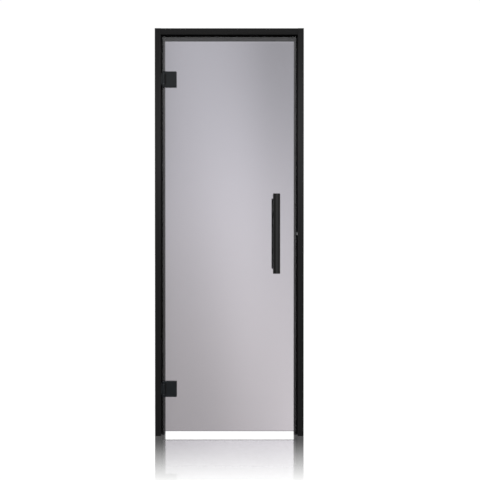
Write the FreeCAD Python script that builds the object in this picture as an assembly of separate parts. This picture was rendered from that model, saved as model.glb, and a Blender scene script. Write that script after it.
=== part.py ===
import FreeCAD, Part
import math
import os

from FreeCAD import Vector

# Glazed sauna door in its frame, closed.
# X runs across the opening from the hinge jamb to the lock jamb.
# Y runs from the room into the sauna, and Z runs up from the floor.
# The origin is at the floor, on the outer side face of the hinge jamb,
# half way between the front and the back of the frame.

# Frame
frame_width = 690.0
frame_height = 1890.0
frame_depth = 70.0
jamb_thickness = 42.0
head_thickness = 44.0
rebate_width = 14.0
rebate_depth = 23.0
front_edge_radius = 2.0
back_edge_radius = 3.0
stop_edge_radius = 1.0

# Glass leaf
glass_thickness = 8.0
glass_setback = 9.0
glass_side_gap = 6.5
glass_top_gap = 7.5
glass_floor_gap = 20.0
glass_edge_chamfer = 1.0
glass_corner_radius = 2.5

# Seal that is pressed into a groove round the stop
seal_offset = 10.0
seal_width = 6.0
seal_glass_gap = 1.4
seal_bore_radius = 1.3
groove_width = 4.0
groove_depth = 6.0
stem_clearance = 0.1
stem_length = 5.0

# Hinges
hinge_inset = 197.5
hinge_height = 72.5
hinge_plate_width = 47.0
hinge_plate_thickness = 6.0
hinge_plate_start = 12.0
hinge_corner_radius = 2.0
hinge_edge_chamfer = 1.0
back_plate_start = 7.0
pad_thickness = 1.0
pad_inset = 1.5
pin_from_glass_edge = 6.5
pin_radius = 3.0
pin_clearance = 0.05
pin_stand_out = 1.5
pin_end_chamfer = 0.8
barrel_radius = 6.5
knuckle_height = 44.0
washer_thickness = 1.0
washer_clearance = 0.1
washer_radius = 6.2
bracket_height = 60.0
bracket_thickness = 3.0
bracket_front = 2.0
bracket_depth = 17.0
bracket_corner_radius = 3.0

# Screws that clamp the hinge plates on the glass
clamp_screw_spacing = 40.0
clamp_screw_radius = 3.0
clamp_head_radius = 6.0
clamp_head_height = 3.4
clamp_thread_depth = 4.5
clamp_hole_radius = 6.0
screw_clearance = 0.1

# Wood screws in the hinge brackets and in the catch plate
wood_screw_radius = 2.0
wood_screw_head_radius = 4.0
wood_screw_head_height = 2.2
wood_screw_length = 22.0
bracket_screw_spacing = 44.0
bracket_screw_setback = 13.5

# Pull handles
handle_height = 940.0
handle_from_lock_side = 93.5
outer_bar_width = 32.5
inner_bar_width = 37.5
handle_bar_depth = 21.0
handle_front_radius = 7.0
handle_back_radius = 3.0
handle_end_bevel = 1.5
outer_bar_length = 367.0
inner_bar_length = 330.0
handle_post_spacing = 216.0
handle_post_radius = 8.0
handle_reach = 37.0
handle_washer_radius = 19.0
handle_washer_thickness = 3.0
handle_washer_edge = 1.0
handle_bolt_radius = 4.0
handle_bolt_grip = 14.0
handle_hole_radius = 7.0
handle_sleeve_wall = 2.6
post_socket_depth = 6.0
post_socket_clearance = 0.1

# Roller catch in the lock jamb
catch_plate_height = 58.0
catch_plate_width = 15.0
catch_plate_thickness = 2.0
catch_plate_corner = 3.0
catch_from_front = 9.0
catch_screw_spacing = 46.0
catch_screw_radius = 1.6
catch_screw_head_radius = 3.0
catch_screw_head_height = 1.6
catch_screw_length = 14.0
catch_case_wall = 1.0
catch_case_depth = 19.0
catch_fit = 0.3
roller_radius = 5.0
roller_height = 13.0
roller_stand_out = 4.9
roller_pin_radius = 1.5
roller_edge_chamfer = 1.0
roller_side_clearance = 0.2
plunger_wall = 2.2
plunger_travel = 4.0

# Fixing holes through the jambs into the wall
fixing_low = 460.0
fixing_high = 1430.0
fixing_radius = 3.5
fixing_head_radius = 7.0
fixing_head_depth = 6.0
fixing_setback = 11.0

# Screws that join the uprights to the head
corner_screw_radius = 3.0
corner_screw_head_radius = 5.5
corner_screw_head_height = 3.2
corner_screw_length = 68.0
corner_screw_drop = 15.0
corner_screw_setbacks = (11.5, 52.0)

# Places that follow from the sizes above
front_y = -frame_depth / 2.0
back_y = frame_depth / 2.0
stop_y = front_y + rebate_depth
jamb_face = jamb_thickness - rebate_width
head_face = head_thickness - rebate_width
head_rebate_z = frame_height - head_face
glass_left = jamb_face + glass_side_gap
glass_right = frame_width - glass_left
glass_bottom = glass_floor_gap
glass_top = head_rebate_z - glass_top_gap
glass_front = front_y + glass_setback
glass_back = glass_front + glass_thickness
pin_x = glass_left + pin_from_glass_edge
plate_back = glass_front - pad_thickness
plate_front = plate_back - hinge_plate_thickness
pin_y = plate_back - barrel_radius
hinge_plate_left = pin_x + hinge_plate_start
hinge_plate_right = hinge_plate_left + hinge_plate_width
clamp_screw_x = (hinge_plate_left + hinge_plate_right) / 2.0
handle_x = glass_right - handle_from_lock_side
catch_face_x = frame_width - jamb_face
catch_y = front_y + catch_from_front
catch_z = handle_height
hinge_heights = {"upper": glass_top - hinge_inset, "lower": glass_bottom + hinge_inset}


def ring_of_edges(corners):
    """Edges of a closed outline; each corner is (u, v, radius of its rounding)."""
    count = len(corners)
    trimmed = []
    for index in range(count):
        here = Vector(corners[index][0], corners[index][1], 0)
        before = Vector(corners[index - 1][0], corners[index - 1][1], 0)
        after = Vector(corners[(index + 1) % count][0], corners[(index + 1) % count][1], 0)
        radius = corners[index][2]
        to_before = (before - here).normalize()
        to_after = (after - here).normalize()
        half_angle = to_before.getAngle(to_after) / 2.0
        if radius <= 0:
            trimmed.append((here, here, here))
            continue
        setback = radius / math.tan(half_angle)
        bisector = (to_before + to_after).normalize()
        middle = here + bisector * (radius / math.sin(half_angle) - radius)
        trimmed.append((here + to_before * setback, middle, here + to_after * setback))
    edges = []
    for index in range(count):
        start, middle, end = trimmed[index]
        if start.distanceToPoint(end) > 1e-6:
            edges.append(Part.Arc(start, middle, end).toShape())
        following = trimmed[(index + 1) % count][0]
        if end.distanceToPoint(following) > 1e-6:
            edges.append(Part.LineSegment(end, following).toShape())
    return edges


def flat_face(corners):
    """Plane face bounded by a closed outline in the XY plane."""
    return Part.Face(Part.Wire(Part.__sortEdges__(ring_of_edges(corners))))


def bar_up(corners, bottom, top):
    """Section in the XY plane, run upwards along Z."""
    face = flat_face(corners)
    face.translate(Vector(0, 0, bottom))
    return face.extrude(Vector(0, 0, top - bottom))


def bar_across(corners, start, end):
    """Section given as (y, z), run along X."""
    face = flat_face(corners)
    face.rotate(Vector(0, 0, 0), Vector(0, 0, 1), 90)
    face.rotate(Vector(0, 0, 0), Vector(0, 1, 0), 90)
    face.translate(Vector(start, 0, 0))
    return face.extrude(Vector(end - start, 0, 0))


def plate_facing_front(corners, front, back):
    """Outline given as (x, z), run along Y."""
    face = flat_face(corners)
    face.rotate(Vector(0, 0, 0), Vector(1, 0, 0), 90)
    face.translate(Vector(0, front, 0))
    return face.extrude(Vector(0, back - front, 0))


def box_between(low, high):
    size = [high[index] - low[index] for index in range(3)]
    return Part.makeBox(size[0], size[1], size[2], Vector(*low))


def rounded_rectangle(left, bottom, right, top, radius):
    return [
        (left, bottom, radius),
        (right, bottom, radius),
        (right, top, radius),
        (left, top, radius),
    ]


def rod(radius, start, direction, length):
    return Part.makeCylinder(radius, length, start, direction)


def mirrored(shape):
    """The same piece on the lock side."""
    return shape.mirror(Vector(frame_width / 2.0, 0, 0), Vector(1, 0, 0))


def turned(profile, start, direction):
    """Solid of revolution; the profile is (radius, distance) and its axis starts at start."""
    points = [Vector(radius, 0, distance) for radius, distance in profile]
    points.append(points[0])
    face = Part.Face(Part.makePolygon(points))
    solid = face.revolve(Vector(0, 0, 0), Vector(0, 0, 1), 360)
    solid.Placement = FreeCAD.Placement(start, FreeCAD.Rotation(Vector(0, 0, 1), direction))
    return solid


def countersunk_screw(shank_radius, head_radius, head_height, length):
    """Profile of a flat-headed screw, from the top of its head to its end."""
    return [
        (0.0, 0.0),
        (head_radius, 0.0),
        (shank_radius, head_height),
        (shank_radius, length),
        (0.0, length),
    ]


def countersunk_hole(shank_radius, head_radius, head_height, length):
    """Room for such a screw, with its clearance all round."""
    return [
        (0.0, -screw_clearance),
        (head_radius + 2 * screw_clearance, -screw_clearance),
        (shank_radius + screw_clearance, head_height),
        (shank_radius + screw_clearance, length + screw_clearance),
        (0.0, length + screw_clearance),
    ]


def bracket_screw_places(hinge_z):
    setback = front_y + bracket_front + bracket_screw_setback
    face = jamb_face + bracket_thickness
    rise = bracket_screw_spacing / 2.0
    return [Vector(face, setback, hinge_z - rise), Vector(face, setback, hinge_z + rise)]


def bracket_screw_holes():
    profile = countersunk_hole(
        wood_screw_radius, wood_screw_head_radius, wood_screw_head_height, wood_screw_length
    )
    holes = []
    for hinge_z in hinge_heights.values():
        for place in bracket_screw_places(hinge_z):
            holes.append(turned(profile, place, Vector(-1, 0, 0)))
    return holes


def corner_screw_places():
    height = frame_height - corner_screw_drop
    return [Vector(0.0, front_y + setback, height) for setback in corner_screw_setbacks]


def corner_screw_holes():
    """Holes through the top of the upright into the end of the head."""
    profile = countersunk_hole(
        corner_screw_radius, corner_screw_head_radius, corner_screw_head_height, corner_screw_length
    )
    return [turned(profile, place, Vector(1, 0, 0)) for place in corner_screw_places()]


def hinge_side_corner_screws():
    profile = countersunk_screw(
        corner_screw_radius, corner_screw_head_radius, corner_screw_head_height, corner_screw_length
    )
    return Part.makeCompound([turned(profile, place, Vector(1, 0, 0)) for place in corner_screw_places()])


def lock_side_corner_screws():
    return mirrored(hinge_side_corner_screws())


def fixing_holes():
    """Countersunk holes from the rebate out to the wall."""
    profile = [
        (0.0, -1.0),
        (fixing_head_radius, -1.0),
        (fixing_head_radius, 0.0),
        (fixing_radius, fixing_head_depth),
        (fixing_radius, jamb_face + 1.0),
        (0.0, jamb_face + 1.0),
    ]
    holes = []
    for height in (fixing_low, fixing_high):
        start = Vector(jamb_face, front_y + fixing_setback, height)
        holes.append(turned(profile, start, Vector(-1, 0, 0)))
    return holes


def jamb_with_rebate():
    """Upright of the hinge side, with its rebate, seal groove and fixing holes."""
    section = [
        (0.0, front_y, front_edge_radius),
        (jamb_face, front_y, front_edge_radius),
        (jamb_face, stop_y, 0.0),
        (jamb_thickness, stop_y, stop_edge_radius),
        (jamb_thickness, back_y, back_edge_radius),
        (0.0, back_y, back_edge_radius),
    ]
    jamb = bar_up(section, 0.0, frame_height)
    middle = jamb_face + seal_offset
    groove = box_between(
        (middle - groove_width / 2.0, stop_y, 0.0),
        (middle + groove_width / 2.0, stop_y + groove_depth, head_rebate_z),
    )
    return jamb.cut(groove).cut(Part.makeCompound(fixing_holes() + corner_screw_holes()))


def hinge_jamb():
    return jamb_with_rebate().cut(Part.makeCompound(bracket_screw_holes()))


def lock_jamb():
    pocket = catch_plate_blank(catch_fit / 3.0).fuse(catch_case_blank(catch_fit / 3.0))
    return mirrored(jamb_with_rebate()).cut(pocket).cut(Part.makeCompound(catch_screw_holes()))


def head_jamb():
    """Head of the frame, fitted between the uprights and notched round their stops."""
    underside = frame_height - head_thickness
    section = [
        (front_y, head_rebate_z, front_edge_radius),
        (stop_y, head_rebate_z, 0.0),
        (stop_y, underside, stop_edge_radius),
        (back_y, underside, back_edge_radius),
        (back_y, frame_height, back_edge_radius),
        (front_y, frame_height, front_edge_radius),
    ]
    head = bar_across(section, jamb_face, frame_width - jamb_face)
    notch = box_between((jamb_face, stop_y, underside), (jamb_thickness, back_y, frame_height))
    middle = head_rebate_z - seal_offset
    groove = box_between(
        (jamb_thickness, stop_y, middle - groove_width / 2.0),
        (frame_width - jamb_thickness, stop_y + groove_depth, middle + groove_width / 2.0),
    )
    holes = Part.makeCompound(corner_screw_holes())
    return head.cut(notch).cut(mirrored(notch)).cut(groove).cut(holes).cut(mirrored(holes))


def seal_section():
    """Hollow bulb with a stem; u runs across the stop and v into its groove."""
    bulb_height = stop_y - glass_back - seal_glass_gap
    half = seal_width / 2.0
    stem_half = groove_width / 2.0 - stem_clearance
    bulb = Part.Arc(Vector(-half, 0, 0), Vector(0, -bulb_height, 0), Vector(half, 0, 0))
    corners = [
        Vector(half, 0, 0),
        Vector(stem_half, 0, 0),
        Vector(stem_half, stem_length, 0),
        Vector(-stem_half, stem_length, 0),
        Vector(-stem_half, 0, 0),
        Vector(-half, 0, 0),
    ]
    outline = Part.Wire([bulb.toShape()] + Part.makePolygon(corners).Edges)
    bore = Part.makeCircle(seal_bore_radius, Vector(0, -bulb_height / 2.0, 0))
    return Part.Face(outline).cut(Part.Face(Part.Wire(bore)))


def hinge_side_seal():
    section = seal_section()
    section.translate(Vector(jamb_face + seal_offset, stop_y, 0))
    return section.extrude(Vector(0, 0, head_rebate_z))


def lock_side_seal():
    return mirrored(hinge_side_seal())


def head_seal():
    section = seal_section()
    section.rotate(Vector(0, 0, 0), Vector(0, 1, 0), 90)
    section.translate(Vector(jamb_thickness, stop_y, head_rebate_z - seal_offset))
    return section.extrude(Vector(frame_width - 2 * jamb_thickness, 0, 0))


def hinge_bracket(hinge_z):
    """Flange on the jamb with the middle knuckle of the hinge."""
    flange = bar_across(
        rounded_rectangle(
            front_y + bracket_front,
            hinge_z - bracket_height / 2.0,
            front_y + bracket_front + bracket_depth,
            hinge_z + bracket_height / 2.0,
            bracket_corner_radius,
        ),
        jamb_face,
        jamb_face + bracket_thickness,
    )
    low = hinge_z - knuckle_height / 2.0
    arm = box_between((jamb_face, plate_front, low), (pin_x, plate_back, low + knuckle_height))
    barrel = rod(barrel_radius, Vector(pin_x, pin_y, low), Vector(0, 0, 1), knuckle_height)
    bore = rod(pin_radius + pin_clearance, Vector(pin_x, pin_y, low), Vector(0, 0, 1), knuckle_height)
    bracket = flange.fuse(arm).fuse(barrel).removeSplitter().cut(bore)
    profile = countersunk_hole(
        wood_screw_radius, wood_screw_head_radius, wood_screw_head_height, wood_screw_length
    )
    for place in bracket_screw_places(hinge_z):
        bracket = bracket.cut(turned(profile, place, Vector(-1, 0, 0)))
    return bracket


def hinge_bracket_screws(hinge_z):
    profile = countersunk_screw(
        wood_screw_radius, wood_screw_head_radius, wood_screw_head_height, wood_screw_length
    )
    places = bracket_screw_places(hinge_z)
    return Part.makeCompound([turned(profile, place, Vector(-1, 0, 0)) for place in places])


def hinge_pin(hinge_z):
    """Pin with bevelled ends, fast in the middle knuckle."""
    half = hinge_height / 2.0 + pin_stand_out
    profile = [
        (0.0, -half),
        (pin_radius - pin_end_chamfer, -half),
        (pin_radius, pin_end_chamfer - half),
        (pin_radius, half - pin_end_chamfer),
        (pin_radius - pin_end_chamfer, half),
        (0.0, half),
    ]
    return turned(profile, Vector(pin_x, pin_y, hinge_z), Vector(0, 0, 1))


def hinge_washers(hinge_z):
    """Rings that keep the middle knuckle off the outer ones."""
    rings = []
    bottom = knuckle_height / 2.0 + washer_clearance
    for start in (bottom, -bottom - washer_thickness):
        place = Vector(pin_x, pin_y, hinge_z + start)
        ring = rod(washer_radius, place, Vector(0, 0, 1), washer_thickness)
        rings.append(ring.cut(rod(pin_radius + pin_clearance, place, Vector(0, 0, 1), washer_thickness)))
    return Part.makeCompound(rings)


def clamp_screw_places(hinge_z):
    rise = clamp_screw_spacing / 2.0
    return [
        Vector(clamp_screw_x, glass_back + pad_thickness + hinge_plate_thickness, hinge_z - rise),
        Vector(clamp_screw_x, glass_back + pad_thickness + hinge_plate_thickness, hinge_z + rise),
    ]


def clamp_screw_length():
    return hinge_plate_thickness + 2 * pad_thickness + glass_thickness + clamp_thread_depth


def cut_clamp_holes(piece, hinge_z):
    profile = countersunk_hole(
        clamp_screw_radius, clamp_head_radius, clamp_head_height, clamp_screw_length()
    )
    for place in clamp_screw_places(hinge_z):
        piece = piece.cut(turned(profile, place, Vector(0, -1, 0)))
    return piece


def bevel_rim(plate, face_y, from_x):
    """Bevel the rim of a plate's show face, from from_x outwards."""
    rim = []
    for edge in plate.Edges:
        box = edge.BoundBox
        if abs(box.YMin - face_y) < 1e-3 and abs(box.YMax - face_y) < 1e-3 and box.XMax > from_x:
            rim.append(edge)
    return plate.makeChamfer(hinge_edge_chamfer, rim)


def hinge_front_plate(hinge_z):
    """Outer clamp plate with the two outer knuckles."""
    low = hinge_z - hinge_height / 2.0
    plate = plate_facing_front(
        rounded_rectangle(hinge_plate_left, low, hinge_plate_right, low + hinge_height, hinge_corner_radius),
        plate_front,
        plate_back,
    )
    reach = (hinge_height - knuckle_height) / 2.0 - washer_thickness - 2 * washer_clearance
    for bottom in (low, low + hinge_height - reach):
        web = box_between((pin_x, plate_front, bottom), (clamp_screw_x, plate_back, bottom + reach))
        barrel = rod(barrel_radius, Vector(pin_x, pin_y, bottom), Vector(0, 0, 1), reach)
        plate = plate.fuse(web).fuse(barrel)
    plate = bevel_rim(plate.removeSplitter(), plate_front, hinge_plate_left + hinge_edge_chamfer)
    bore = rod(pin_radius + pin_clearance, Vector(pin_x, pin_y, low), Vector(0, 0, 1), hinge_height)
    return cut_clamp_holes(plate.cut(bore), hinge_z)


def hinge_back_plate(hinge_z):
    low = hinge_z - hinge_height / 2.0
    front = glass_back + pad_thickness
    plate = plate_facing_front(
        rounded_rectangle(
            pin_x + back_plate_start, low, hinge_plate_right, low + hinge_height, hinge_corner_radius
        ),
        front,
        front + hinge_plate_thickness,
    )
    back = front + hinge_plate_thickness
    return cut_clamp_holes(bevel_rim(plate, back, 0.0), hinge_z)


def hinge_pads(hinge_z):
    """Soft sheets between plates and glass; the front one has bushes in the glass holes."""
    low = hinge_z - hinge_height / 2.0 + pad_inset
    high = hinge_z + hinge_height / 2.0 - pad_inset
    sheets = []
    outline = rounded_rectangle(
        pin_x + back_plate_start + pad_inset, low, hinge_plate_right - pad_inset, high, hinge_corner_radius
    )
    for front in (plate_back, glass_back):
        sheets.append(plate_facing_front(outline, front, front + pad_thickness))
    for place in clamp_screw_places(hinge_z):
        start = Vector(place.x, plate_back, place.z)
        bush_length = glass_back - plate_back
        bush = rod(clamp_hole_radius - screw_clearance, start, Vector(0, 1, 0), bush_length)
        sheets[0] = sheets[0].fuse(bush)
    return Part.makeCompound([cut_clamp_holes(sheet.removeSplitter(), hinge_z) for sheet in sheets])


def hinge_clamp_screws(hinge_z):
    profile = countersunk_screw(
        clamp_screw_radius, clamp_head_radius, clamp_head_height, clamp_screw_length()
    )
    places = clamp_screw_places(hinge_z)
    return Part.makeCompound([turned(profile, place, Vector(0, -1, 0)) for place in places])


def handle_post_heights():
    return (handle_height - handle_post_spacing / 2.0, handle_height + handle_post_spacing / 2.0)


def door_glass():
    outline = rounded_rectangle(
        glass_left, glass_bottom, glass_right, glass_top, glass_corner_radius
    )
    glass = plate_facing_front(outline, glass_front, glass_back)
    rims = []
    for edge in glass.Edges:
        across = abs(edge.BoundBox.YMax - edge.BoundBox.YMin)
        if across < 1e-3:
            rims.append(edge)
    glass = glass.makeChamfer(glass_edge_chamfer, rims)
    for hinge_z in hinge_heights.values():
        for place in clamp_screw_places(hinge_z):
            start = Vector(place.x, glass_front, place.z)
            glass = glass.cut(rod(clamp_hole_radius, start, Vector(0, 1, 0), glass_thickness))
    for height in handle_post_heights():
        start = Vector(handle_x, glass_front, height)
        glass = glass.cut(rod(handle_hole_radius, start, Vector(0, 1, 0), glass_thickness))
    return glass


def handle_bar(width, length, near_glass, outward):
    """Pull bar with bevelled ends, rounder on the hand's side; outward is -1 or +1 along Y."""
    half = width / 2.0
    far = near_glass + outward * handle_bar_depth
    section = [
        (handle_x - half, near_glass, handle_back_radius),
        (handle_x + half, near_glass, handle_back_radius),
        (handle_x + half, far, handle_front_radius),
        (handle_x - half, far, handle_front_radius),
    ]
    bar = bar_up(section, handle_height - length / 2.0, handle_height + length / 2.0)
    ends = [edge for edge in bar.Edges if edge.BoundBox.ZLength < 1e-3]
    bar = bar.makeChamfer(handle_end_bevel, ends)
    for height in handle_post_heights():
        start = Vector(handle_x, near_glass, height)
        socket = rod(
            handle_post_radius + post_socket_clearance, start, Vector(0, outward, 0), post_socket_depth
        )
        bar = bar.cut(socket)
    return bar


def handle_posts(surface, outward):
    """Round posts from the washers into the sockets of the bar."""
    posts = []
    start_y = surface + outward * handle_washer_thickness
    length = handle_reach - handle_washer_thickness + post_socket_depth
    for height in handle_post_heights():
        start = Vector(handle_x, start_y, height)
        direction = Vector(0, outward, 0)
        post = rod(handle_post_radius, start, direction, length)
        thread_room = handle_bolt_grip - handle_washer_thickness + screw_clearance
        thread = rod(handle_bolt_radius + screw_clearance, start, direction, thread_room)
        posts.append(post.cut(thread))
    return Part.makeCompound(posts)


def handle_washers(surface, outward):
    washers = []
    for height in handle_post_heights():
        start = Vector(handle_x, surface, height)
        direction = Vector(0, outward, 0)
        profile = [
            (handle_bolt_radius + screw_clearance, 0.0),
            (handle_washer_radius, 0.0),
            (handle_washer_radius, handle_washer_thickness - handle_washer_edge),
            (handle_washer_radius - handle_washer_edge, handle_washer_thickness),
            (handle_bolt_radius + screw_clearance, handle_washer_thickness),
        ]
        washers.append(turned(profile, start, direction))
    return Part.makeCompound(washers)


def handle_bolts():
    """Studs through the glass that hold both bars."""
    length = glass_thickness + 2 * handle_bolt_grip
    start_y = glass_front - handle_bolt_grip
    bolts = []
    for height in handle_post_heights():
        bolts.append(rod(handle_bolt_radius, Vector(handle_x, start_y, height), Vector(0, 1, 0), length))
    return Part.makeCompound(bolts)


def handle_sleeves():
    """Soft sleeves round the studs, inside the glass."""
    sleeves = []
    for height in handle_post_heights():
        start = Vector(handle_x, glass_front, height)
        outer = rod(handle_hole_radius - screw_clearance, start, Vector(0, 1, 0), glass_thickness)
        inner_radius = handle_hole_radius - handle_sleeve_wall
        inner = rod(inner_radius, start, Vector(0, 1, 0), glass_thickness)
        sleeves.append(outer.cut(inner))
    return Part.makeCompound(sleeves)


def plunger_half_height():
    return roller_height / 2.0 + roller_side_clearance + plunger_wall


def catch_plate_blank(extra):
    """Block of the catch plate, grown all round by extra except at its face."""
    half_width = catch_plate_width / 2.0 + extra
    half_height = catch_plate_height / 2.0 + extra
    outline = rounded_rectangle(
        catch_y - half_width,
        catch_z - half_height,
        catch_y + half_width,
        catch_z + half_height,
        catch_plate_corner,
    )
    return bar_across(outline, catch_face_x, catch_face_x + catch_plate_thickness + extra)


def catch_case_blank(extra):
    """Block of the case behind the catch plate, grown by extra."""
    half_width = roller_radius + catch_fit + catch_case_wall + extra
    half_height = plunger_half_height() + catch_fit + catch_case_wall + extra
    return box_between(
        (catch_face_x, catch_y - half_width, catch_z - half_height),
        (catch_face_x + catch_case_depth + extra, catch_y + half_width, catch_z + half_height),
    )


def catch_screw_places():
    rise = catch_screw_spacing / 2.0
    return [
        Vector(catch_face_x, catch_y, catch_z - rise),
        Vector(catch_face_x, catch_y, catch_z + rise),
    ]


def catch_screw_holes():
    profile = countersunk_hole(
        catch_screw_radius, catch_screw_head_radius, catch_screw_head_height, catch_screw_length
    )
    return [turned(profile, place, Vector(1, 0, 0)) for place in catch_screw_places()]


def catch_housing():
    """Flush plate with an open case behind it."""
    half_width = roller_radius + catch_fit
    half_height = plunger_half_height() + catch_fit
    room = box_between(
        (catch_face_x, catch_y - half_width, catch_z - half_height),
        (catch_face_x + catch_case_depth - catch_case_wall, catch_y + half_width, catch_z + half_height),
    )
    housing = catch_plate_blank(0.0).fuse(catch_case_blank(0.0)).cut(room)
    return housing.cut(Part.makeCompound(catch_screw_holes())).removeSplitter()


def catch_screws():
    profile = countersunk_screw(
        catch_screw_radius, catch_screw_head_radius, catch_screw_head_height, catch_screw_length
    )
    return Part.makeCompound([turned(profile, place, Vector(1, 0, 0)) for place in catch_screw_places()])


def roller_axis_x():
    return catch_face_x - roller_stand_out + roller_radius


def catch_plunger():
    """Sliding fork that carries the roller on its pin."""
    half_height = plunger_half_height()
    axis_x = roller_axis_x()
    end_x = catch_face_x + catch_case_depth - catch_case_wall - plunger_travel - catch_fit
    body = box_between(
        (axis_x, catch_y - roller_radius, catch_z - half_height),
        (end_x, catch_y + roller_radius, catch_z + half_height),
    )
    low_end = Vector(axis_x, catch_y, catch_z - half_height)
    nose = rod(roller_radius - catch_fit, low_end, Vector(0, 0, 1), 2 * half_height)
    gap_half = roller_height / 2.0 + roller_side_clearance
    reach = roller_radius + catch_fit
    gap = box_between(
        (axis_x - reach, catch_y - reach, catch_z - gap_half),
        (axis_x + reach, catch_y + reach, catch_z + gap_half),
    )
    hole = rod(roller_pin_radius + pin_clearance, low_end, Vector(0, 0, 1), 2 * half_height)
    return body.fuse(nose).cut(gap).cut(hole)


def catch_roller_pin():
    half_height = plunger_half_height()
    start = Vector(roller_axis_x(), catch_y, catch_z - half_height)
    return rod(roller_pin_radius, start, Vector(0, 0, 1), 2 * half_height)


def catch_roller():
    """Hollow roller with bevelled rims."""
    half = roller_height / 2.0
    bore = roller_pin_radius + pin_clearance
    profile = [
        (bore, -half),
        (roller_radius - roller_edge_chamfer, -half),
        (roller_radius, roller_edge_chamfer - half),
        (roller_radius, half - roller_edge_chamfer),
        (roller_radius - roller_edge_chamfer, half),
        (bore, half),
    ]
    return turned(profile, Vector(roller_axis_x(), catch_y, catch_z), Vector(0, 0, 1))


def all_nodes():
    outer_surface = glass_front
    inner_surface = glass_back
    nodes = {
        "hinge_jamb": hinge_jamb(),
        "lock_jamb": lock_jamb(),
        "head_jamb": head_jamb(),
        "hinge_side_seal": hinge_side_seal(),
        "lock_side_seal": lock_side_seal(),
        "head_seal": head_seal(),
        "hinge_side_corner_screws": hinge_side_corner_screws(),
        "lock_side_corner_screws": lock_side_corner_screws(),
        "catch_housing": catch_housing(),
        "catch_screws": catch_screws(),
        "catch_plunger": catch_plunger(),
        "catch_roller_pin": catch_roller_pin(),
        "catch_roller": catch_roller(),
        "door_glass": door_glass(),
        "outer_handle_bar": handle_bar(outer_bar_width, outer_bar_length, outer_surface - handle_reach, -1),
        "inner_handle_bar": handle_bar(inner_bar_width, inner_bar_length, inner_surface + handle_reach, 1),
        "outer_handle_posts": handle_posts(outer_surface, -1),
        "inner_handle_posts": handle_posts(inner_surface, 1),
        "outer_handle_washers": handle_washers(outer_surface, -1),
        "inner_handle_washers": handle_washers(inner_surface, 1),
        "handle_bolts": handle_bolts(),
        "handle_sleeves": handle_sleeves(),
    }
    for place, hinge_z in hinge_heights.items():
        nodes[place + "_hinge_bracket"] = hinge_bracket(hinge_z)
        nodes[place + "_hinge_bracket_screws"] = hinge_bracket_screws(hinge_z)
        nodes[place + "_hinge_pin"] = hinge_pin(hinge_z)
        nodes[place + "_hinge_washers"] = hinge_washers(hinge_z)
        nodes[place + "_hinge_front_plate"] = hinge_front_plate(hinge_z)
        nodes[place + "_hinge_back_plate"] = hinge_back_plate(hinge_z)
        nodes[place + "_hinge_pads"] = hinge_pads(hinge_z)
        nodes[place + "_hinge_clamp_screws"] = hinge_clamp_screws(hinge_z)
    return nodes


os.makedirs("parts", exist_ok=True)
for name, shape in all_nodes().items():
    shape.exportStep("parts/" + name + ".step")
    print(name, len(shape.Solids), "solid(s)", shape.isValid(), round(shape.Volume / 1000.0, 2), "cm3")
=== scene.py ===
# %% [markdown]
# A glazed sauna door with its frame.
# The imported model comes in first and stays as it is: every jamb, hinge plate, seal and bar keeps
# its size and place. What this lesson adds is the finish of each surface, the drives of the
# screws, the pressed edge of the hinge pads, the stage, the light and the camera.

import math

import bmesh
import bpy
from mathutils import Matrix, Vector


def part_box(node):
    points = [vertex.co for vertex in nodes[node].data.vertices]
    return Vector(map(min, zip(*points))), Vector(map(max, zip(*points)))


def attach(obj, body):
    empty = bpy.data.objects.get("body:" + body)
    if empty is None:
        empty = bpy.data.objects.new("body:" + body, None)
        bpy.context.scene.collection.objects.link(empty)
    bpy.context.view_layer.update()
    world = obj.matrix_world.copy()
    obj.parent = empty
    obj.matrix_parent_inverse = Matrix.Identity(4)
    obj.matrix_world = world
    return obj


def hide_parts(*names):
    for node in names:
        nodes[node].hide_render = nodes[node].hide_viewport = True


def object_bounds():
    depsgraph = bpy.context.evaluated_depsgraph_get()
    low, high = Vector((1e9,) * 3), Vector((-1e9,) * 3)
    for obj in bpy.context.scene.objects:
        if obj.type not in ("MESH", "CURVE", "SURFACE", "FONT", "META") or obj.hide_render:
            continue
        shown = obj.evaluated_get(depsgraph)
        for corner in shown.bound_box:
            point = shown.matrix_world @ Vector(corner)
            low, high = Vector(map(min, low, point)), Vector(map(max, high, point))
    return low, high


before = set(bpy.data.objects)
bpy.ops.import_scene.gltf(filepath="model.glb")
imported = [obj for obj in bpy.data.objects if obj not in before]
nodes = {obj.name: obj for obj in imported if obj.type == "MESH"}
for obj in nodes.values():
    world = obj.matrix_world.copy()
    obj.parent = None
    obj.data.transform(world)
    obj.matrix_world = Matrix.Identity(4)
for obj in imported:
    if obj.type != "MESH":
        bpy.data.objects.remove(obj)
model_low, model_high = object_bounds()
print("model box", [round(value, 4) for value in (*model_low, *model_high)])

# %% [markdown]
# The camera looks straight at the door from just over three metres, at half the height of the
# frame. From there a lens a little longer than normal fills the picture, and the stop behind the
# glass looks as much smaller than the frame's front as it does in the photo.

# %% Camera
camera_place = Vector((0.3945, -3.235, 0.9328))
camera_pitch = math.radians(-0.4)
camera_data = bpy.data.cameras.new("camera")
camera_data.lens = 51.8
camera_data.sensor_width = 36.0
camera = bpy.data.objects.new("camera", camera_data)
camera.location = camera_place
camera.rotation_euler = (math.radians(90.0) + camera_pitch, 0.0, 0.0)
bpy.context.scene.collection.objects.link(camera)
bpy.context.scene.camera = camera
print("camera distance", round(model_low.y - camera_place.y, 3))

# %% [markdown]
# Shader trees are easier to read when each kind of node has one small function.
# Each function below returns a socket, so that a material reads like a recipe:
# coordinates, pattern, colour, shader.

# %% Helpers for shader trees
def feed(tree, target, value):
    """Links a socket to the target, or sets a plain value on it."""
    if isinstance(value, bpy.types.NodeSocket):
        tree.links.new(value, target)
    else:
        target.default_value = value


def colour(value):
    """Three numbers get their alpha, and a socket stays as it is."""
    return value if isinstance(value, bpy.types.NodeSocket) else (*value, 1.0)


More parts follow.
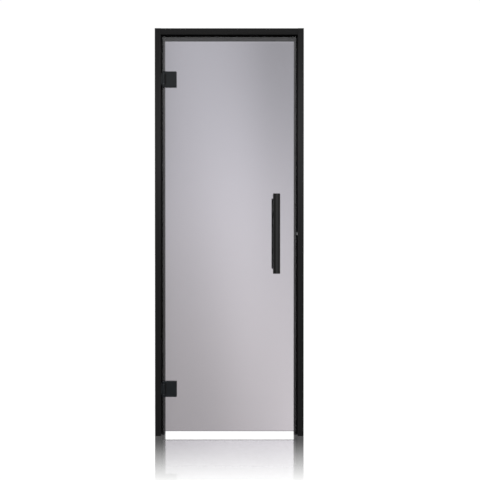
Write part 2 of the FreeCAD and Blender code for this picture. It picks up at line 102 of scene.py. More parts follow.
def place(tree, turn=(0.0, 0.0, 0.0), shift=(0.0, 0.0, 0.0), scale=(1.0, 1.0, 1.0), source=None):
    """Object coordinates, scaled, then turned, then shifted."""
    if source is None:
        source = tree.nodes.new("ShaderNodeTexCoord").outputs["Object"]
    mapping = tree.nodes.new("ShaderNodeMapping")
    mapping.inputs["Rotation"].default_value = turn
    mapping.inputs["Location"].default_value = shift
    mapping.inputs["Scale"].default_value = scale
    tree.links.new(source, mapping.inputs["Vector"])
    return mapping.outputs["Vector"]


def split(tree, vector):
    """The X, Y and Z of a vector."""
    parts = tree.nodes.new("ShaderNodeSeparateXYZ")
    tree.links.new(vector, parts.inputs[0])
    return parts.outputs


def noise(tree, vector, scale=1.0, detail=3.0, roughness=0.5, distortion=0.0):
    """Soft clouds between zero and one."""
    texture = tree.nodes.new("ShaderNodeTexNoise")
    tree.links.new(vector, texture.inputs["Vector"])
    texture.inputs["Scale"].default_value = scale
    texture.inputs["Detail"].default_value = detail
    texture.inputs["Roughness"].default_value = roughness
    texture.inputs["Distortion"].default_value = distortion
    return texture.outputs["Fac"]


def reckon(tree, operation, first, second=0.0, third=0.0):
    """One step of arithmetic."""
    step = tree.nodes.new("ShaderNodeMath")
    step.operation = operation
    for index, value in enumerate((first, second, third)):
        feed(tree, step.inputs[index], value)
    return step.outputs[0]


def fit(tree, value, span, onto=(0.0, 1.0), smooth=True):
    """Maps the two ends of the span onto two other values, held beyond the ends."""
    remap = tree.nodes.new("ShaderNodeMapRange")
    remap.interpolation_type = "SMOOTHSTEP" if smooth else "LINEAR"
    feed(tree, remap.inputs["Value"], value)
    for socket, end in zip(("From Min", "From Max", "To Min", "To Max"), (*span, *onto)):
        remap.inputs[socket].default_value = end
    return remap.outputs["Result"]


def blend(tree, factor, first, second):
    """Mixes two colours."""
    mix = tree.nodes.new("ShaderNodeMix")
    mix.data_type = "RGBA"
    feed(tree, mix.inputs["Factor"], factor)
    feed(tree, mix.inputs["A"], colour(first))
    feed(tree, mix.inputs["B"], colour(second))
    return mix.outputs["Result"]


def swell(tree, value, middle, width, height):
    """A smooth hill: height times exp(-((value - middle) / width) squared)."""
    away = reckon(tree, "DIVIDE", reckon(tree, "SUBTRACT", value, middle), width)
    squared = reckon(tree, "MULTIPLY", away, away)
    fall = reckon(tree, "POWER", math.e, reckon(tree, "MULTIPLY", squared, -1.0))
    return reckon(tree, "MULTIPLY", fall, height)


def relief(tree, height, depth, below=None):
    """Bump whose depth is in metres; below is the normal of a coarser bump."""
    bump = tree.nodes.new("ShaderNodeBump")
    bump.inputs["Strength"].default_value = 1.0
    bump.inputs["Distance"].default_value = depth
    tree.links.new(height, bump.inputs["Height"])
    if below is not None:
        tree.links.new(below, bump.inputs["Normal"])
    return bump.outputs["Normal"]


def worn_edges(tree, radius):
    """One along the outer edges, zero on the flats, where both normals agree."""
    on_the_flat, on_the_edge = 0.98, 0.75
    rounded = tree.nodes.new("ShaderNodeBevel")
    rounded.samples = 4
    rounded.inputs["Radius"].default_value = radius
    flat = tree.nodes.new("ShaderNodeNewGeometry")
    agreement = tree.nodes.new("ShaderNodeVectorMath")
    agreement.operation = "DOT_PRODUCT"
    tree.links.new(rounded.outputs["Normal"], agreement.inputs[0])
    tree.links.new(flat.outputs["Normal"], agreement.inputs[1])
    return fit(tree, agreement.outputs["Value"], (on_the_flat, on_the_edge))


def new_finish(name, **constants):
    """A material with its shader; constants go on the shader's own sockets."""
    material = bpy.data.materials.new(name)
    material.use_nodes = True
    tree = material.node_tree
    shader = tree.nodes["Principled BSDF"]
    for socket, value in constants.items():
        shader.inputs[socket.replace("_", " ")].default_value = value
    return material, tree, shader


def dress(material, *names):
    """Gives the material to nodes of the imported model."""
    for name in names:
        mesh = nodes[name].data
        mesh.materials.clear()
        mesh.materials.append(material)
    print(material.name, "on", len(names), "nodes")


# %% [markdown]
# The frame is timber under a black stain and a thin satin lacquer.
# A flat black would look like plastic. Real stained timber keeps its growth rings and its pores,
# which show as faint streaks along the board and as dots and arcs on its end.
# The rings are a wave pattern round an axis beside the board, and the pores are noise that is
# stretched along the grain, so that both run through the board as they do in wood. For the head
# the same pattern is laid on its side. Each upright also has a broad lighter band above the middle:
# a painted sheen, where the highlight of the light in front is painted into the colour.

# %% Finish of the timber frame
ring_spacing = 0.0045
ring_wobble = 7.0
ring_stretch = (1.0, 1.0, 0.05)
wave_rings_per_metre = 20.0 / (2.0 * math.pi)
streak_scale = (150.0, 150.0, 2.4)
pore_scale = (1100.0, 1100.0, 26.0)
ring_share, streak_share, pore_share = 0.35, 0.75, 0.3
ring_depth, streak_depth, pore_depth = 0.00008, 0.00025, 0.00006
sheen_spread = 0.07
edge_radius = 0.0012
bare_edge = (0.03, 0.028, 0.026)
# Lighter tones of the painted sheen band.
painted_sheen_tones = ((0.013, 0.013, 0.0134), (0.041, 0.0405, 0.0415))


def growth_rings(tree, along, pith):
    """Rings round a pith that lies beside the board."""
    rings = tree.nodes.new("ShaderNodeTexWave")
    rings.wave_type = "RINGS"
    rings.rings_direction = "Z"
    centred = place(tree, shift=pith, scale=ring_stretch, source=along)
    tree.links.new(centred, rings.inputs["Vector"])
    rings.inputs["Scale"].default_value = 1.0 / (ring_spacing * wave_rings_per_metre)
    rings.inputs["Distortion"].default_value = ring_wobble
    rings.inputs["Detail"].default_value = 3.0
    rings.inputs["Detail Scale"].default_value = 0.35
    return rings.outputs["Fac"]


def wood_tone(tree, rings, streaks, pores):
    """Rings and streaks lift the tone, and pores sink it."""
    tone = reckon(tree, "MULTIPLY", rings, ring_share)
    tone = reckon(tree, "ADD", tone, reckon(tree, "MULTIPLY", streaks, streak_share))
    return reckon(tree, "SUBTRACT", tone, reckon(tree, "MULTIPLY", pores, pore_share))


def stained_timber(name, turn, pith, stains, gloss, roughness, painted_sheen=None):
    """Lacquered timber. Turn brings the grain upright, stains are its darkest and palest tone,
    and the last argument is a band of painted sheen, lighter where a highlight falls:
    axis, middle, width and strength."""
    material, tree, shader = new_finish(name, Specular_IOR_Level=gloss, IOR=1.5)
    along = place(tree, turn=turn)
    rings = growth_rings(tree, along, pith)
    streak_place = place(tree, scale=streak_scale, source=along)
    streaks = noise(tree, streak_place, detail=5.0, roughness=0.6, distortion=0.4)
    pore_place = place(tree, scale=pore_scale, source=along)
    pores = fit(tree, noise(tree, pore_place, detail=2.0, roughness=0.6), (0.62, 0.74))
    tone = wood_tone(tree, rings, streaks, pores)
    stain = blend(tree, fit(tree, tone, (0.15, 0.85), smooth=False), *stains)
    # Painted sheen: inside the band the tone is lifted to lighter ones, standing for a highlight.
    if painted_sheen is not None:
        axis, middle, width, strength = painted_sheen
        band = swell(tree, split(tree, along)[axis], middle, width, strength)
        stain = blend(tree, band, stain, blend(tree, streaks, *painted_sheen_tones))
    wear = reckon(tree, "MULTIPLY", worn_edges(tree, edge_radius), streaks)
    tree.links.new(blend(tree, wear, stain, bare_edge), shader.inputs["Base Color"])
    from_matt_to_satin = (roughness + sheen_spread, roughness - sheen_spread)
    satin = fit(tree, tone, (0.1, 0.9), from_matt_to_satin, smooth=False)
    tree.links.new(satin, shader.inputs["Roughness"])
    rise = relief(tree, rings, ring_depth)
    rise = relief(tree, streaks, streak_depth, rise)
    rise = relief(tree, reckon(tree, "SUBTRACT", 1.0, pores), pore_depth, rise)
    tree.links.new(rise, shader.inputs["Normal"])
    return material


upright = (0.0, 0.0, 0.0)
laid_across = (0.0, math.radians(90.0), 0.0)
frame_stains = ((0.003, 0.003, 0.0031), (0.0095, 0.0094, 0.0096))
frame_gloss, frame_roughness = 0.1, 0.38
# The last column is each upright's band of painted sheen: axis, middle, width and strength.
for board, turn, pith, painted_sheen in (
    ("hinge_jamb", upright, (0.07, 0.11, 0.0), ("Z", 1.36, 0.4, 0.6)),
    ("lock_jamb", upright, (-0.78, 0.09, 0.0), ("Z", 1.4, 0.36, 0.75)),
    ("head_jamb", laid_across, (-1.98, 0.08, 0.0), None),
):
    finish = stained_timber(
        "stained_" + board, turn, pith, frame_stains, frame_gloss, frame_roughness, painted_sheen
    )
    dress(finish, board)

# %% [markdown]
# The seal is an extruded bulb of black silicone, pressed into a groove of the stop behind the
# glass. Its surface is matt with fine draw lines from the die, and dust settles on it unevenly.
# Draw lines follow the length of each seal, so the head seal gets the pattern laid across.

# %% Finish of the seals
draw_line_scale = (2600.0, 2600.0, 6.0)
draw_line_depth = 0.00004
clean_silicone, dusty_silicone = (0.008, 0.008, 0.008), (0.022, 0.022, 0.022)


def black_silicone(name, turn):
    """Matt silicone whose draw lines run along the seal."""
    material, tree, shader = new_finish(name, Specular_IOR_Level=0.4)
    along = place(tree, turn=turn)
    draw_lines = noise(tree, place(tree, scale=draw_line_scale, source=along), detail=2.0)
    dust = noise(tree, along, scale=60.0, detail=4.0, roughness=0.65)
    shade = blend(tree, fit(tree, dust, (0.35, 0.7)), clean_silicone, dusty_silicone)
    tree.links.new(shade, shader.inputs["Base Color"])
    tree.links.new(fit(tree, dust, (0.3, 0.7), (0.48, 0.66)), shader.inputs["Roughness"])
    tree.links.new(relief(tree, draw_lines, draw_line_depth), shader.inputs["Normal"])
    return material


dress(black_silicone("black_silicone_upright", upright), "hinge_side_seal", "lock_side_seal")
dress(black_silicone("black_silicone_across", laid_across), "head_seal")

# %% [markdown]
# The leaf is one pane of clear toughened glass, tinted smoke grey right through.
# A glass shader with a grey colour passes about a quarter of the light. The polished edges look
# darker, because the eye then looks along the tint, so a mask measured from the rim of the pane
# darkens the last millimetre. Toughening leaves the surface very slightly wavy, and the hands
# that use the door leave faint marks.

# %% Finish of the glass
pane_low, pane_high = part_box("door_glass")
rim_width = 0.0013
rim_tint = (0.07, 0.072, 0.074)
smoke_tints = ((0.250, 0.2425, 0.2595), (0.259, 0.2511, 0.2685))
wave_scale = (1.2, 1.2, 4.0)
wave_depth = 0.0006


def rim_mask(tree, coordinates):
    """One within the rim's width of the pane's outline, zero inside."""
    parts = split(tree, coordinates)
    across = reckon(
        tree, "MINIMUM",
        reckon(tree, "SUBTRACT", parts["X"], pane_low.x),
        reckon(tree, "SUBTRACT", pane_high.x, parts["X"]),
    )
    up = reckon(
        tree, "MINIMUM",
        reckon(tree, "SUBTRACT", parts["Z"], pane_low.z),
        reckon(tree, "SUBTRACT", pane_high.z, parts["Z"]),
    )
    return fit(tree, reckon(tree, "MINIMUM", across, up), (rim_width, rim_width * 0.6))


def smoked_glass():
    """Grey glass, with clouds in its tint, waves and hand marks."""
    material, tree, shader = new_finish(
        "clear_smoked_glass", Transmission_Weight=1.0, IOR=1.5, Specular_IOR_Level=0.5,
        Metallic=0.0
    )
    coordinates = place(tree)
    body_tint = blend(tree, noise(tree, coordinates, scale=2.2, detail=2.0), *smoke_tints)
    tint = blend(tree, rim_mask(tree, coordinates), body_tint, rim_tint)
    tree.links.new(tint, shader.inputs["Base Color"])
    marks = noise(tree, coordinates, scale=28.0, detail=5.0, roughness=0.7, distortion=0.6)
    tree.links.new(fit(tree, marks, (0.6, 0.85), (0.0, 0.03)), shader.inputs["Roughness"])
    waves = noise(tree, place(tree, scale=wave_scale), scale=1.6, detail=1.0)
    tree.links.new(relief(tree, waves, wave_depth), shader.inputs["Normal"])
    return material


dress(smoked_glass(), "door_glass")

# %% [markdown]
# Hinges, the handle's posts and washers and the catch plate are steel with a black powder coat.
# Powder melts into a skin with the fine dimples of orange peel, and it rubs thin along the edges.
# The coat of the hinges is a little blue-green. The dimples are small noise, and the rubbed edges
# come from a bevel of the normal compared with the true normal, which finds every outer edge
# whatever the shape.

# %% Finish of the coated metal
coat_roughness = 0.42
coat_edge_radius = 0.0009
peel_depth = 0.00002
edge_polish = 0.12


def powder_coat(name, coats, rubbed):
    """Powder coat. Coats are its darkest and palest tone, and rubbed is the tone of its edges."""
    material, tree, shader = new_finish(name, Specular_IOR_Level=0.26, IOR=1.5)
    coordinates = place(tree)
    drift = noise(tree, coordinates, scale=55.0, roughness=0.6)
    dimples = noise(tree, coordinates, scale=1500.0, detail=2.0)
    patches = fit(tree, noise(tree, coordinates, scale=240.0), (0.35, 0.65))
    wear = reckon(tree, "MULTIPLY", worn_edges(tree, coat_edge_radius), patches)
    coat = blend(tree, fit(tree, drift, (0.3, 0.7)), *coats)
    tree.links.new(blend(tree, wear, coat, rubbed), shader.inputs["Base Color"])
    rough = fit(tree, drift, (0.3, 0.7), (coat_roughness - 0.05, coat_roughness + 0.06))
    rough = reckon(tree, "SUBTRACT", rough, reckon(tree, "MULTIPLY", wear, edge_polish))
    tree.links.new(rough, shader.inputs["Roughness"])
    tree.links.new(relief(tree, dimples, peel_depth), shader.inputs["Normal"])
    return material


def pair(name):
    """The names of a part of the upper and of the lower hinge."""
    return "upper_" + name, "lower_" + name


hinge_tones = ((0.0008, 0.0024, 0.004), (0.0016, 0.0038, 0.006))
hinge_coat = powder_coat("hinge_coat", hinge_tones, (0.03, 0.035, 0.037))
dress(hinge_coat, *pair("hinge_front_plate"), *pair("hinge_back_plate"), *pair("hinge_bracket"))
washer_tones = ((0.006, 0.006, 0.0065), (0.01, 0.01, 0.0105))
washer_coat = powder_coat("washer_coat", washer_tones, (0.03, 0.03, 0.03))
dress(
    washer_coat, "outer_handle_washers", "inner_handle_washers", "outer_handle_posts",
    "inner_handle_posts", "catch_housing"
)

# %% [markdown]
# Pins, bolts and the rings between the knuckles are blackened steel: metal, turned on a lathe, so
# it carries fine rings round its axis. Stretched noise across the axis gives them, and the
# blackening is uneven. The screws are the same steel under black or clear zinc.

# %% Finish of the pins, bolts and steel screws
lathe_scale = (40.0, 40.0, 5200.0)
lathe_depth = 0.00001


def turned_steel(name, dark, bright, roughness):
    """Bare or plated steel with lathe lines and an uneven tone."""
    material, tree, shader = new_finish(name, Metallic=1.0)
    coordinates = place(tree)
    lathe_lines = noise(tree, place(tree, scale=lathe_scale), detail=2.0)
    patches = noise(tree, coordinates, scale=320.0, detail=4.0, roughness=0.6)
    tone = blend(tree, fit(tree, patches, (0.3, 0.7)), dark, bright)
    tree.links.new(tone, shader.inputs["Base Color"])
    rough = fit(tree, patches, (0.3, 0.7), (roughness + 0.08, roughness - 0.06))
    tree.links.new(rough, shader.inputs["Roughness"])
    tree.links.new(relief(tree, lathe_lines, lathe_depth), shader.inputs["Normal"])
    return material


blackened_steel = turned_steel(
    "blackened_steel", (0.05, 0.052, 0.056), (0.11, 0.113, 0.118), 0.36
)
dress(
    blackened_steel, *pair("hinge_pin"), *pair("hinge_washers"), "handle_bolts",
    "catch_roller_pin"
)
zinc_steel = turned_steel("zinc_steel", (0.42, 0.42, 0.43), (0.62, 0.62, 0.61), 0.34)
black_zinc = turned_steel("black_zinc", (0.03, 0.03, 0.031), (0.07, 0.07, 0.071), 0.4)

# %% [markdown]
# The pull bars are timber too, stained black like the frame, with the grain running up the bar.
# Hands that close round them rub the lacquer smooth, and a lighter line along the front is a
# painted highlight. So they use the frame's recipe with their own pith, tones and band.

# %% Finish of the pull bars
bar_low, bar_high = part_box("outer_handle_bar")
bar_stains = ((0.0025, 0.0025, 0.0025), (0.0075, 0.0074, 0.0074))
bar_pith = (-0.5, 0.12, 0.0)
bar_gloss, bar_roughness = 0.13, 0.22
# A painted highlight: a lighter line just right of the bar's middle, where the front lamp's
# highlight falls.
highlight_off_middle, highlight_width = 0.0012, 0.0045
painted_highlight_line = (bar_low.x + bar_high.x) / 2.0 + highlight_off_middle
bar_finish = stained_timber(
    "stained_bars", upright, bar_pith, bar_stains, bar_gloss, bar_roughness,
    painted_sheen=("X", painted_highlight_line, highlight_width, 1.0)
)
dress(bar_finish, "outer_handle_bar", "inner_handle_bar")

# %% [markdown]
# A few small plastics are left: the sleeves of the handle's bolts in the glass, and the nylon
# roller of the catch with the fork that carries it. The rubber of the hinge pads is mixed here
# too, and goes on the pads below. Moulded plastic has a fine even texture and a slightly cloudy
# colour, so one recipe serves all of them with other tones.

# %% Finish of the plastics
skin_depth = 0.000015


def moulded_plastic(name, base, clouded, roughness):
    """Moulded plastic with faint clouds in its colour."""
    material, tree, shader = new_finish(name, Specular_IOR_Level=0.3)
    coordinates = place(tree)
    clouds = noise(tree, coordinates, scale=130.0, roughness=0.55)
    skin = noise(tree, coordinates, scale=2400.0, detail=1.0)
    tone = blend(tree, fit(tree, clouds, (0.3, 0.7)), base, clouded)
    tree.links.new(tone, shader.inputs["Base Color"])
    rough = fit(tree, clouds, (0.3, 0.7), (roughness - 0.05, roughness + 0.05))
    tree.links.new(rough, shader.inputs["Roughness"])
    tree.links.new(relief(tree, skin, skin_depth), shader.inputs["Normal"])
    return material


pad_rubber = moulded_plastic("pad_rubber", (0.006, 0.006, 0.006), (0.01, 0.01, 0.01), 0.6)
for name, base, clouded, roughness, node in (
    ("sleeve_plastic", (0.03, 0.03, 0.032), (0.05, 0.05, 0.05), 0.4, "handle_sleeves"),
    ("fork_nylon", (0.02, 0.02, 0.02), (0.032, 0.032, 0.032), 0.45, "catch_plunger"),
    ("pale_roller_nylon", (0.2, 0.2, 0.205), (0.27, 0.27, 0.275), 0.38, "catch_roller"),
):
    dress(moulded_plastic(name, base, clouded, roughness), node)

# %% [markdown]
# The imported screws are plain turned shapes, so each set is modelled again with the drive that a
# tool fits. A screw is drawn head up on the origin: a disc, inset once, with the inner ring
# pushed out to the outline of the drive and sunk; then the rim is run down to the shank and the
# shank to its end. A cross drive suits wood screws, and a hexagon suits the machine screws of the
# hinge clamps.

# %% A screw with its drive
ring_corners = 24
rounding_share = 0.07
inset_share = 0.3
drive_depth_share = 0.62
drive_taper = 0.86
tip_share = 0.45
cross_half_angle = math.radians(15.0)
smallest_sine = 1e-6


def hexagon_reach(angle, size):
    """Distance from the centre to a hexagon whose corners are at size."""
    sector = math.radians(60.0)
    within = angle % sector - sector / 2.0
    return size * math.cos(sector / 2.0) / math.cos(within)


def cross_reach(angle, size):
    """Distance from the centre to a cross whose arms end at size."""
    quarter = math.radians(90.0)
    within = abs((angle + quarter / 2.0) % quarter - quarter / 2.0)
    arm_end = size / math.cos(within)
    arm_side = size * math.tan(cross_half_angle) / max(math.sin(within), smallest_sine)
    return min(arm_end, arm_side)


def run_down(bm, edges, distance, radius_change):
    """Extrudes an open ring of edges downwards and scales it by a share."""
    grown = bmesh.ops.extrude_edge_only(bm, edges=edges)["geom"]
    verts = [part for part in grown if isinstance(part, bmesh.types.BMVert)]
    bmesh.ops.translate(bm, verts=verts, vec=(0.0, 0.0, -distance))
    bmesh.ops.scale(bm, verts=verts, vec=(radius_change, radius_change, 1.0))
    return [part for part in grown if isinstance(part, bmesh.types.BMEdge) and part.is_boundary]


def sink_drive(bm, top, reach, size, depth):
    """Brings the top face to the outline of the drive and sinks it."""
    for corner in top.verts:
        angle = math.atan2(corner.co.y, corner.co.x)
        distance = reach(angle, size)
        corner.co.x = distance * math.cos(angle)
        corner.co.y = distance * math.sin(angle)
    sunk = bmesh.ops.extrude_face_region(bm, geom=[top])["geom"]
    floor_verts = [part for part in sunk if isinstance(part, bmesh.types.BMVert)]
    bmesh.ops.translate(bm, verts=floor_verts, vec=(0.0, 0.0, -depth))
    bmesh.ops.scale(bm, verts=floor_verts, vec=(drive_taper, drive_taper, 1.0))
    if top.is_valid:
        bmesh.ops.delete(bm, geom=[top], context="FACES_ONLY")


def screw(head_radius, head_height, shank_radius, length, reach, drive_size):
    """A countersunk screw as a bmesh, its head on the origin and its end down."""
    bm = bmesh.new()
    rounding = head_radius * rounding_share
    flat_radius = head_radius - rounding
    bmesh.ops.create_circle(bm, cap_ends=True, segments=ring_corners, radius=flat_radius)
    top = bm.faces[:][0]
    inset = head_radius * inset_share
    bmesh.ops.inset_individual(bm, faces=[top], thickness=inset, use_even_offset=True)
    sink_drive(bm, top, reach, drive_size, head_height * drive_depth_share)
    rim = [edge for edge in bm.edges if edge.is_boundary]
    for distance, radius_change in (
        (rounding, head_radius / flat_radius),
        (head_height - rounding, shank_radius / head_radius),
        (length - head_height - shank_radius, 1.0),
        (shank_radius, tip_share),
    ):
        rim = run_down(bm, rim, distance, radius_change)
    bmesh.ops.edgeloop_fill(bm, edges=rim)
    bmesh.ops.recalc_face_normals(bm, faces=bm.faces[:])
    return bm


# %% [markdown]
# Each packed set is a pair, and its box says where the two heads lie and how long the screws are.
# So a new set is placed from the box alone: the heads on the side that they face, and each screw
# a head's radius in from an end of the box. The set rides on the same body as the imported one.

# %% Screw sets
def sort_faces(bm):
    """Puts the faces in the order of their corners, so that each run writes the same mesh."""
    bm.verts.index_update()
    count = len(bm.verts)

    def rank(face):
        first, second, third = sorted(corner.index for corner in face.verts)[:3]
        return (first * count + second) * count + third

    bm.faces.sort(key=rank)


def new_object(name, bm, material):
    """Turns a bmesh into an object with one material."""
    sort_faces(bm)
    mesh = bpy.data.meshes.new(name)
    bm.to_mesh(mesh)
    bm.free()
    mesh.materials.append(material)
    thing = bpy.data.objects.new(name, mesh)
    bpy.context.scene.collection.objects.link(thing)
    return thing


def add_piece(name, bm, material, body, replaced):
    """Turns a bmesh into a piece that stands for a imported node."""
    piece = new_object(name, bm, material)
    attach(piece, body)
    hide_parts(replaced)
    print(name, len(piece.data.polygons), "faces on", body)


def screw_set(node, facing, spread, finish, body, slot, sizes, reach, drive_size):
    """Two screws in the place of a packed pair that lies along the axis spread."""
    head_radius, head_height, shank_radius = sizes
    low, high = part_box(node)
    axis = max(range(3), key=lambda index: abs(facing[index]))
    length = high[axis] - low[axis]
    top = (low + high) / 2.0
    top[axis] = high[axis] if facing[axis] > 0.0 else low[axis]
    offset = Vector((0.0, 0.0, 0.0))
    offset[spread] = (high[spread] - low[spread]) / 2.0 - head_radius
    turn = Vector(facing).to_track_quat("Z", "X").to_matrix().to_4x4()
    joined = bmesh.new()
    for side in (-1.0, 1.0):
        one = screw(head_radius, head_height, shank_radius, length, reach, drive_size)
        one.transform(Matrix.Translation(top + offset * side) @ turn)
        scratch = bpy.data.meshes.new("scratch")
        one.to_mesh(scratch)
        one.free()
        joined.from_mesh(scratch)
        bpy.data.meshes.remove(scratch)
    add_piece(node + "_driven", joined, finish, body, node)


# Head radius, head height and shank radius, then the drive and its size.
clamp_screw = ((0.006, 0.0034, 0.003), hexagon_reach, 0.0023)
bracket_screw = ((0.004, 0.0022, 0.002), cross_reach, 0.0024)
corner_screw = ((0.0055, 0.0032, 0.003), cross_reach, 0.0033)
catch_screw = ((0.003, 0.0016, 0.0016), cross_reach, 0.0018)
along_y, along_z = 1, 2
to_back, to_right, to_left = (0.0, 1.0, 0.0), (1.0, 0.0, 0.0), (-1.0, 0.0, 0.0)
on_leaf = (black_zinc, "leaf", "black_screw")
on_frame = (black_zinc, "frame", "black_screw")
in_corner = (zinc_steel, "frame", "screw_steel")
for node, facing, spread, where, kind in (
    ("upper_hinge_clamp_screws", to_back, along_z, on_leaf, clamp_screw),
    ("upper_hinge_bracket_screws", to_right, along_z, on_frame, bracket_screw),
    ("lower_hinge_clamp_screws", to_back, along_z, on_leaf, clamp_screw),
    ("lower_hinge_bracket_screws", to_right, along_z, on_frame, bracket_screw),
    ("hinge_side_corner_screws", to_left, along_y, in_corner, corner_screw),
    ("lock_side_corner_screws", to_right, along_y, in_corner, corner_screw),
    ("catch_screws", to_left, along_z, on_frame, catch_screw),
):
    screw_set(node, facing, spread, *where, *kind)

# %% [markdown]
# The pads between the hinge plates and the glass are soft sheet rubber, cut a little larger than
# the plates. Only the front sheet shows, as a dark slot between the knuckles and the plate, and
# there a pressed pad bulges out towards the pin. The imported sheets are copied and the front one's
# edge is drawn out by that bulge.

# %% Hinge pads with the pressed edge
pressed_out = 0.003
corner_reach = 0.004
merge_distance = 0.000001
for name in pair("hinge_pads"):
    low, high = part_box(name)
    front_end = low.x + corner_reach
    middle_y = (low.y + high.y) / 2.0
    pads = bmesh.new()
    pads.from_mesh(nodes[name].data)
    bmesh.ops.remove_doubles(pads, verts=pads.verts[:], dist=merge_distance)
    edge = [vert for vert in pads.verts if vert.co.x < front_end and vert.co.y < middle_y]
    bmesh.ops.translate(pads, verts=edge, vec=(-pressed_out, 0.0, 0.0))
    add_piece(name + "_pressed", pads, pad_rubber, "leaf", name)

# %% [markdown]
# The stage is a white floor that runs out to a white backdrop all round.
# What shows through the smoked glass is a second, much larger shell, a little brighter than the
# backdrop, with one broad slanting band behind the door that the glass brings down to a soft
# diagonal sheen. Neither shell lights anything: one is for the camera and one for what passes
# through glass, so each can be set for itself. The second shell is so large that a direction
# alone says where it shines. High up, where only the mirrored door in the floor sees it through
# its glass, it shines more.

# %% Backdrop and glow behind the glass
backdrop_radius, backdrop_strength = 40.0, 1.02
glow_radius = 400.0
white = (1.0, 1.0, 1.0)

# Slopes are metres sideways or up for each metre ahead of the camera.
# A band, or a darker place, has its middle, its width and its strength.
band_slant, band_middle, band_width = 0.235, 0.0126, 0.0913
band_strength, band_rise = 0.75, -0.7
level_band = (0.02, 0.16, 0.12)
dark_right, dark_left, dark_foot = (0.042, 0.03, 0.11), (-0.11, 0.012, 0.08), (-0.27, 0.09, 0.05)
falling_slopes, falling_strengths = (0.32, 0.0), (0.99, 1.36)
mirror_slopes = (0.276, 0.295)
mirror_sides, mirror_strengths = (-0.1, 0.08), (0.95, 2.2)
around_strength = 1.4
tint_span = (-0.28, 0.28)
low_tint, high_tint = (1.026, 0.998, 0.985), (0.985, 0.995, 1.03)
mirror_tint = (1.006, 0.997, 0.994)


def on_stage(name, bm, material):
    """An object of the stage, which isn't part of the door."""
    thing = new_object(name, bm, material)
    return thing


def shining(name, strength_of, tint_of):
    """A material that only gives off light, by direction from the middle of its shell."""
    material = bpy.data.materials.new(name)
    material.use_nodes = True
    tree = material.node_tree
    tree.nodes.remove(tree.nodes["Principled BSDF"])
    parts = split(tree, tree.nodes.new("ShaderNodeTexCoord").outputs["Object"])
    glow = tree.nodes.new("ShaderNodeEmission")
    feed(tree, glow.inputs["Color"], colour(tint_of(tree, parts)))
    feed(tree, glow.inputs["Strength"], strength_of(tree, parts))
    tree.links.new(glow.outputs[0], tree.nodes["Material Output"].inputs["Surface"])
    return material


def slopes(tree, parts):
    """Sideways and upward slope of the direction, as seen from the camera."""
    depth = reckon(tree, "MAXIMUM", parts["Y"], 1.0)
    return reckon(tree, "DIVIDE", parts["X"], depth), reckon(tree, "DIVIDE", parts["Z"], depth)


def ahead_of_camera(tree, parts):
    """One ahead of the camera, falling to zero at its sides and behind it."""
    return fit(tree, parts["Y"], (1.0, glow_radius * 0.5))


def sheen_strength(tree, parts):
    """Brightest at eye level and in the band; plain at the camera's sides and behind it."""
    sideways, upwards = slopes(tree, parts)
    slanted = reckon(tree, "MULTIPLY_ADD", upwards, band_slant, sideways)
    height = reckon(tree, "MULTIPLY_ADD", upwards, band_rise, band_strength)
    band = swell(tree, slanted, band_middle, band_width, height)
    ground = fit(tree, upwards, falling_slopes, falling_strengths)
    ground = reckon(tree, "ADD", ground, swell(tree, upwards, *level_band))
    mirrored = fit(tree, sideways, mirror_sides, mirror_strengths)
    mirrored = reckon(tree, "MULTIPLY", fit(tree, upwards, mirror_slopes), mirrored)
    ground = reckon(tree, "ADD", ground, mirrored)
    for slope, dark_place in (
        (sideways, dark_right), (sideways, dark_left), (upwards, dark_foot)
    ):
        ground = reckon(tree, "SUBTRACT", ground, swell(tree, slope, *dark_place))
    strength = reckon(tree, "ADD", ground, reckon(tree, "MAXIMUM", band, 0.0))
    difference = reckon(tree, "SUBTRACT", strength, around_strength)
    difference = reckon(tree, "MULTIPLY", difference, ahead_of_camera(tree, parts))
    return reckon(tree, "ADD", difference, around_strength)


def sheen_tint(tree, parts):
    """Warm low down and cool high up, but nearly neutral where the mirrored door sees it."""
    rise = reckon(tree, "DIVIDE", parts["Z"], glow_radius)
    tint = blend(tree, fit(tree, rise, tint_span), low_tint, high_tint)
    mirrored = fit(tree, slopes(tree, parts)[1], mirror_slopes)
    mirrored = reckon(tree, "MULTIPLY", mirrored, ahead_of_camera(tree, parts))
    return blend(tree, mirrored, tint, mirror_tint)


def shell(name, radius, material):
    """A sphere round the camera that is seen from inside and lights nothing."""
    bm = bmesh.new()
    bmesh.ops.create_uvsphere(bm, u_segments=64, v_segments=32, radius=radius)
    bmesh.ops.reverse_faces(bm, faces=bm.faces[:])
    thing = on_stage(name, bm, material)
    thing.location = camera_place
    thing.visible_diffuse = False
    thing.visible_glossy = False
    thing.visible_shadow = False
    print(name, "radius", radius)
    return thing


backdrop_paint = shining(
    "backdrop_paint", lambda tree, parts: backdrop_strength, lambda tree, parts: white
)
backdrop = shell("backdrop", backdrop_radius, backdrop_paint)
backdrop.visible_transmission = False
sheen_paint = shining("sheen_paint", sheen_strength, sheen_tint)
sheen = shell("sheen_behind_glass", glow_radius, sheen_paint)
sheen.visible_camera = False

# %% [markdown]
# Round the door's feet the floor is polished like a mirror, and the polish fades half a metre
# away, so the mirrored door fades out as well. A mirror image as a second, upside-down door
# would need every piece twice. The floor's white is mostly its own light, so that no
# shadow greys it, and only the camera sees the floor.

# %% Polished floor
floor_size = 60.0
floor_drop = 0.0003
floor_glow = 0.74
floor_greys = ((0.19, 0.19, 0.19), (0.21, 0.21, 0.21))
polish_reach, polish_depth, polish_power = 0.565, 0.92, 1.5
mirror_roughness = 0.03


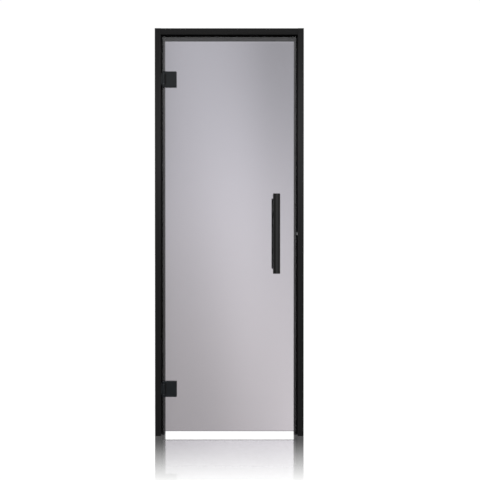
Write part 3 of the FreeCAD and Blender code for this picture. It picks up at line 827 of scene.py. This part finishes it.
def polish(tree, parts):
    """How much of the floor is mirror, by the distance from the foot of the door."""
    squares = []
    for axis, low, high in (("X", model_low.x, model_high.x), ("Y", model_low.y, model_high.y)):
        before = reckon(tree, "SUBTRACT", low, parts[axis])
        after = reckon(tree, "SUBTRACT", parts[axis], high)
        away = reckon(tree, "MAXIMUM", reckon(tree, "MAXIMUM", before, after), 0.0)
        squares.append(reckon(tree, "MULTIPLY", away, away))
    distance = reckon(tree, "SQRT", reckon(tree, "ADD", *squares))
    share = reckon(tree, "MINIMUM", reckon(tree, "DIVIDE", distance, polish_reach), 1.0)
    left = reckon(tree, "SUBTRACT", 1.0, reckon(tree, "POWER", share, polish_power))
    return reckon(tree, "MULTIPLY", left, polish_depth)


def floor_paint():
    """White paint under the polish."""
    material, tree, shader = new_finish(
        "floor_paint", Roughness=0.6, Specular_IOR_Level=0.0, Emission_Color=(*white, 1.0),
        Emission_Strength=floor_glow
    )
    coordinates = place(tree)
    grain = noise(tree, coordinates, scale=6.0)
    tree.links.new(blend(tree, grain, *floor_greys), shader.inputs["Base Color"])
    mirror = tree.nodes.new("ShaderNodeBsdfGlossy")
    mirror.inputs["Roughness"].default_value = mirror_roughness
    both = tree.nodes.new("ShaderNodeMixShader")
    tree.links.new(polish(tree, split(tree, coordinates)), both.inputs[0])
    tree.links.new(shader.outputs[0], both.inputs[1])
    tree.links.new(mirror.outputs[0], both.inputs[2])
    tree.links.new(both.outputs[0], tree.nodes["Material Output"].inputs["Surface"])
    return material


door_middle = (model_low + model_high) / 2.0
floor_mesh = bmesh.new()
bmesh.ops.create_circle(floor_mesh, cap_ends=True, segments=96, radius=floor_size / 2.0)
below_door = (door_middle.x, 0.0, -floor_drop)
bmesh.ops.translate(floor_mesh, verts=floor_mesh.verts[:], vec=below_door)
floor = on_stage("floor", floor_mesh, floor_paint())
floor.visible_diffuse = False
floor.visible_glossy = False
floor.visible_transmission = False
print("floor", floor_size, "metres across, polished for", polish_reach)

# %% [markdown]
# The light is a soft white studio: pale walls that grow darker towards the ground, and one softer
# lamp in front, to the right of the camera, which brightens the edges that face it. All of it is
# a pattern over directions in the world, so nothing has an edge that the glass could mirror.
# A soft sun straight above whitens the floor, and it leaves no highlights.

# %% Light
wall_heights, wall_strengths = (-0.3, 0.3), (0.36, 1.4)
lamp_way = (0.36, -0.93, 0.05)
lamp_inner, lamp_outer, lamp_strength = 4.0, 14.0, 2.4


def toward(tree, parts, direction, inner, outer, strength):
    """A round soft lamp: full inside the inner angle and gone at the outer one."""
    aim = Vector(direction).normalized()
    along = reckon(tree, "MULTIPLY", parts["X"], aim.x)
    along = reckon(tree, "MULTIPLY_ADD", parts["Y"], aim.y, along)
    along = reckon(tree, "MULTIPLY_ADD", parts["Z"], aim.z, along)
    outer_edge, inner_edge = math.cos(math.radians(outer)), math.cos(math.radians(inner))
    return fit(tree, along, (outer_edge, inner_edge), (0.0, strength))


world = bpy.data.worlds.new("studio")
world.use_nodes = True
bpy.context.scene.world = world
sky = world.node_tree
sky_parts = split(sky, sky.nodes.new("ShaderNodeTexCoord").outputs["Generated"])
room = fit(sky, sky_parts["Z"], wall_heights, wall_strengths, smooth=False)
lamp = toward(sky, sky_parts, lamp_way, lamp_inner, lamp_outer, lamp_strength)
sky.nodes["Background"].inputs["Color"].default_value = colour(white)
sky.links.new(reckon(sky, "ADD", room, lamp), sky.nodes["Background"].inputs["Strength"])

sun_data = bpy.data.lights.new("overhead_sun", "SUN")
sun_data.energy = 1.0
sun_data.angle = math.radians(14.0)
sun = bpy.data.objects.new("overhead_sun", sun_data)
sun.visible_glossy = False
bpy.context.scene.collection.objects.link(sun)
bpy.context.scene.view_settings.view_transform = "Standard"
print("lamps", len(bpy.data.lights))
